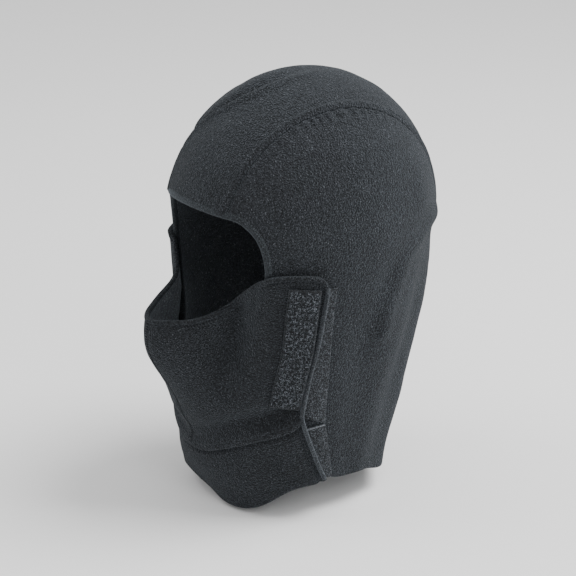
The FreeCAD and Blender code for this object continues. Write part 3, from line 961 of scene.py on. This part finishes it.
def surface_path(plan, level=MASK_OUTER, raise_by=0.0):
    """A path on the mask with its outward directions."""
    path = mask_place(plan[:, 0], plan[:, 1], level)
    outward = mask_place(plan[:, 0], plan[:, 1], level + 1.0) - path
    along = np.gradient(path, axis=0)
    outward -= along * np.sum(outward * along, 1, keepdims=True) / np.sum(along**2, 1, keepdims=True)
    outward /= np.linalg.norm(outward, axis=1, keepdims=True)
    return path + outward * raise_by, outward


def mirrored(path_and_normals):
    """The same path and its outward directions on the wearer's right."""
    return [part * (-1, 1, 1) for part in path_and_normals]


# half width, half height and how far the middle lies below the mask's face
REAR_HEM = (1.6, 2.5, 1.0)
TOP_HEM = (1.7, 1.9, 1.2)
CHIN_RIDGE = (2.7, 1.9, 0.3)


# Rear hem: one folded edge down the mask and on down the neck panel.
edge_plan = np.vstack([rear_line[6:], neck_rear[1:]])
edge_plan = smooth_line(spaced(edge_plan, 60), 330)
hem_path, hem_out = surface_path(edge_plan, MASK_OUTER, -REAR_HEM[2])
hem_lift = mask_relief(hem_path) + 0.2 * lattice_noise(hem_path, 7, 91)
hem_path = hem_path + hem_out * hem_lift[:, None]
# The hem takes the lighter fleece: painted light.
left_hem = band("mask_hem_left", hem_path, hem_out, *REAR_HEM[:2], LIT_HEM_FLEECE)
on_mask(left_hem, ["mask_edge_hem_left"], False)
right_hem = band("mask_hem_right", *mirrored((hem_path, hem_out)), *REAR_HEM[:2], LIT_HEM_FLEECE)
on_body(right_hem, "mask_right_end", "mask_edge_hem_right")

# Top hem, from one rear corner over the nose to the other.
top_plan = np.vstack([top_line[:0:-1] * (-1, 1), top_line])
top_path, top_out = surface_path(spaced(top_plan, 500), MASK_OUTER, -TOP_HEM[2])
top_path = top_path + top_out * mask_relief(top_path)[:, None]
top_hem = band("mask_top_hem", top_path, top_out, *TOP_HEM[:2], SHADED_MASK_FLEECE)
on_mask(top_hem, [], True)
top_down = np.cross(np.gradient(top_path, axis=0), top_out)
top_down /= np.linalg.norm(top_down, axis=1, keepdims=True)
top_down *= np.where(top_down[:, 2:] < 0, 1, -1)
thread_path = top_path + top_down * 3.4 + top_out * 0.9
top_thread = stitches("top_hem_stitches", thread_path, top_out, *TOP_THREAD, THREAD, 62)
on_mask(top_thread, [], True)

# Chin seam: a rolled ridge that hangs over the neck panel.
chin_path, chin_out = surface_path(spaced(neck_top, 460), MASK_OUTER, -CHIN_RIDGE[2])
chin_ridge = band("chin_seam_ridge", chin_path, chin_out, *CHIN_RIDGE[:2], SHADED_MASK_FLEECE)
on_mask(chin_ridge, [], True)

# Centre seam of the mask: a flat seam with a ladder of short stitches across it.
seam_plan = spaced([(0, MASK_TOP[0][1] - 2), (0, CHIN[0][1] + 3)], 120)
centre_path, _ = surface_path(seam_plan, MASK_OUTER, 0.1)
centre_out = np.tile([0, -1.0, 0], (len(centre_path), 1))
centre_lift = mask_lift(centre_path[None], MASK_SEED)[0] - 0.5
centre_path = centre_path + centre_out * centre_lift[:, None]
ladder = stitches("centre_seam_stitches", centre_path, centre_out, *LADDER_THREAD, THREAD, 90)
on_mask(ladder, ["centre_seam_thread"], False)


def patch_lift(points):
    """How a patch follows the mask's cloth."""
    return mask_relief(points) + 0.6 * fleece_waves(points, MASK_SEED)


def mask_patch(corners, level, seed, roughness):
    """A patch on the mask and its outward directions, from corners as (angle, height)."""
    grid = mask_grid(corner_grid(corners, 56, 170), level)
    normals = grid_normals(grid, away(grid))
    pile = lattice_noise(grid, 1.4, seed) + 0.8 * lattice_noise(grid, 2.7, seed)
    return grid + normals * (patch_lift(grid) + roughness * pile)[..., None], normals


CHEEK_PATCH = [(55.6, -20.5), (48.4, -109), (60.9, -112), (67.0, -22.5)]
CHEEK_PATCH_RIGHT = [(57.5, -21), (54.5, -109), (60.9, -112), (67.0, -22.5)]
NECK_PATCH = [(51.5, -142), (53.5, -174), (70, -167.5), (63.5, -135)]
NECK_PATCH_RIGHT = [(57, -141), (58, -173), (70, -167.5), (63.5, -135)]

outer_grid, outer_normals = mask_patch(CHEEK_PATCH, OUTER_LOOP_FACE, 101, 0.42)
outer_loops = shell("outer_loops", outer_grid, outer_normals, OUTER_LOOPS, LOOP)
on_body(outer_loops, "mask", "outer_loop_patch")
CURL_COUNT, CURL_SEED, CURL_STEPS, CURL_SIDES, CURL_THREAD = 1300, 7, 6, 4, 0.12


def loop_curls(name, grid, normals, count, seed):
    """Separate curled loops that stand on a patch's face."""
    draw = np.random.default_rng(seed)
    rows, columns = grid.shape[:2]
    row = (draw.random(count) * (rows - 3)).astype(int) + 1
    column = (draw.random(count) * (columns - 3)).astype(int) + 1
    ups = normals[row, column]
    share = draw.random((2, count, 1))
    feet = grid[row, column]
    feet = feet + (grid[row + 1, column] - feet) * share[0] + (grid[row, column + 1] - feet) * share[1]
    ways = np.cross(ups, draw.normal(size=(count, 3)))
    ways /= np.linalg.norm(ways, axis=1, keepdims=True)
    tilts = draw.normal(0, 0.45, (count, 1))
    flanks = np.cross(ways, ups)
    sizes = draw.uniform(0.35, 0.7, (count, 1))
    vertices, faces = [], []
    stand = ups + flanks * tilts
    for step in range(CURL_STEPS):
        turn = math.pi * (1.25 * step / (CURL_STEPS - 1) - 0.125)
        centre = feet + (ways * math.cos(turn) + stand * (0.25 + math.sin(turn))) * sizes
        radial = ways * math.cos(turn) + stand * math.sin(turn)
        for k in range(CURL_SIDES):
            angle = 2 * math.pi * k / CURL_SIDES
            spoke = radial * math.cos(angle) + flanks * math.sin(angle)
            vertices.append(centre + spoke * CURL_THREAD)
    vertices = np.stack(vertices, 1).reshape(-1, 3)
    for curl in range(count):
        base = curl * CURL_STEPS * CURL_SIDES
        last = base + (CURL_STEPS - 1) * CURL_SIDES
        for ring in range(base, last, CURL_SIDES):
            for k in range(CURL_SIDES):
                a, b = ring + k, ring + (k + 1) % CURL_SIDES
                faces.append((a, b, b + CURL_SIDES, a + CURL_SIDES))
        faces.append(tuple(range(base + CURL_SIDES - 1, base - 1, -1)))
        faces.append(tuple(range(last, last + CURL_SIDES)))
    return make_object(name, vertices, faces, CURL)


outer_curls = loop_curls("outer_loop_curls", outer_grid, outer_normals, CURL_COUNT, CURL_SEED)
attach(outer_curls, "mask")
HOOK_SETS = (
    ("cheek", "left", CHEEK_PATCH, 111),
    ("cheek", "right", CHEEK_PATCH_RIGHT, 111),
    ("neck", "left", NECK_PATCH, 121),
    ("neck", "right", NECK_PATCH_RIGHT, 121),
)
SIDES = {"left": (1, "mask"), "right": (-1, "mask_right_end")}
for spot, word, corners, seed in HOOK_SETS:
    side, body = SIDES[word]
    grid, normals = mask_patch(corners, HOOK_FACE, seed, 0.15)
    mirror = (side, 1, 1)
    hooks = shell(spot + "_hooks_" + word, grid * mirror, normals * mirror, HOOKS, HOOK)
    on_body(hooks, body, spot + "_hook_patch_" + word)


def patch_stitches(name, corners, level, word, node, inset_by):
    """A line of stitches round a patch, just inside its outline."""
    side, body = SIDES[word]
    middle = np.mean(corners, axis=0)
    moved = [middle + (np.array(corner) - middle) * (1 - inset_by) for corner in corners]
    plan = spaced(np.vstack([spaced([a, b], 60) for a, b in zip(moved, moved[1:] + moved[:1])]), 300)
    path, out = surface_path(plan, level)
    path = path + out * patch_lift(path)[:, None]
    if side < 0:
        path, out = mirrored((path, out))
    on_body(stitches(name, path, out, *PATCH_THREAD, THREAD), body, node)


STITCHED = (
    ("outer_loop_stitches", CHEEK_PATCH, OUTER_LOOP_FACE + 0.1, "left", "outer_patch_thread", 0.05),
    ("neck_stitches_left", NECK_PATCH, MASK_OUTER, "left", "neck_patch_thread_left", 0.02),
    ("neck_stitches_right", NECK_PATCH_RIGHT, MASK_OUTER, "right", "neck_patch_thread_right", 0.02),
    ("cheek_stitches_right", CHEEK_PATCH_RIGHT, MASK_OUTER, "right", "cheek_patch_thread_right", 0.03),
)
for row in STITCHED:
    patch_stitches(*row)

# ---- care label ----

label_low, label_high = node_box("care_label")
label_x = np.linspace(label_low[0], label_high[0], 30)
label_up = np.linspace(label_high[2], label_low[2], 24)
label_side, label_height = np.meshgrid(label_x, label_up)
length, width, shift = section(label_height)
label_y = length * np.sqrt(1 - np.square(label_side / width)) - shift
label_grid = np.stack([label_side, label_y, label_height], -1)
label_out = grid_normals(label_grid, -away(label_grid))
LABEL_STAND = 0.9  # the label's face stands off the lining, so that it never sinks in
label_depth = CLOTH + LABEL_STAND - crown_relief(label_grid) - fleece_waves(label_grid, HOOD_SEED)
label_grid = label_grid + label_out * label_depth[..., None]
label = shell("blank_label", label_grid, label_out, 0.4, LABEL)
on_body(label, "hood", "care_label")

# ---- stage, light and camera ----


def plain_material(name, colour, roughness):
    """One even colour."""
    made = bpy.data.materials.new(name)
    made.use_nodes = True
    shader = made.node_tree.nodes["Principled BSDF"]
    shader.inputs["Base Color"].default_value = (*colour, 1)
    shader.inputs["Roughness"].default_value = roughness
    return made


FLOOR_GAP, FLOOR_HALF = 0.0015, 6.0  # metres
floor_mesh = bpy.data.meshes.new("floor")
floor_up = cad_low.z - FLOOR_GAP
signs = ((-1, -1), (1, -1), (1, 1), (-1, 1))
floor_corners = [(x * FLOOR_HALF, y * FLOOR_HALF, floor_up) for x, y in signs]
floor_mesh.from_pydata(floor_corners, [], [(0, 1, 2, 3)])
floor_mesh.materials.append(plain_material("floor", (0.9, 0.9, 0.9), 0.9))
floor = bpy.data.objects.new("floor", floor_mesh)
bpy.context.scene.collection.objects.link(floor)

WORLD_STRENGTH = 0.8
world = bpy.data.worlds.new("studio")
bpy.context.scene.world = world
world.use_nodes = True
world.node_tree.nodes["Background"].inputs["Color"].default_value = (1, 1, 1, 1)
world.node_tree.nodes["Background"].inputs["Strength"].default_value = WORLD_STRENGTH


def softbox(name, azimuth, elevation, distance, size, power):
    """An area light that faces the head from an azimuth and elevation, in degrees."""
    a, e = math.radians(azimuth), math.radians(elevation)
    data = bpy.data.lights.new(name, "AREA")
    data.shape = "DISK"
    data.size = size
    data.energy = power
    made = bpy.data.objects.new(name, data)
    bpy.context.scene.collection.objects.link(made)
    way = (math.sin(a) * math.cos(e), -math.cos(a) * math.cos(e), math.sin(e))
    made.location = [distance * part for part in way]
    made.rotation_mode = "QUATERNION"
    made.rotation_quaternion = Vector(way).to_track_quat("Z", "Y")


# azimuth, elevation, distance, size and power
softbox("top_back", 150, 60, 1.6, 1.0, 36)
softbox("left_front", -40, 50, 1.8, 0.9, 7)
softbox("near_side", 80, 35, 2.0, 0.8, 5)

CAMERA_TURN, CAMERA_RISE, CAMERA_DISTANCE, CAMERA_LENS = 55, 19, 1.5, 129.8
AIM_RIGHT, AIM_UP = -0.0101, -0.0517  # where the camera aims, in metres from the origin
turn, rise = math.radians(CAMERA_TURN), math.radians(CAMERA_RISE)
right = np.array([math.cos(turn), math.sin(turn), 0])
back = np.array([math.sin(turn) * math.cos(rise), -math.cos(turn) * math.cos(rise), math.sin(rise)])
upward = np.cross(back, right)
camera_data = bpy.data.cameras.new("camera")
camera_data.sensor_width = 36
camera_data.lens = CAMERA_LENS
camera = bpy.data.objects.new("camera", camera_data)
bpy.context.scene.collection.objects.link(camera)
aim = AIM_RIGHT * right + AIM_UP * upward
place = back * CAMERA_DISTANCE
looking = Vector(place - aim)
camera.location = place
camera.rotation_mode = "QUATERNION"
camera.rotation_quaternion = looking.to_track_quat("Z", "Y")
bpy.context.scene.camera = camera
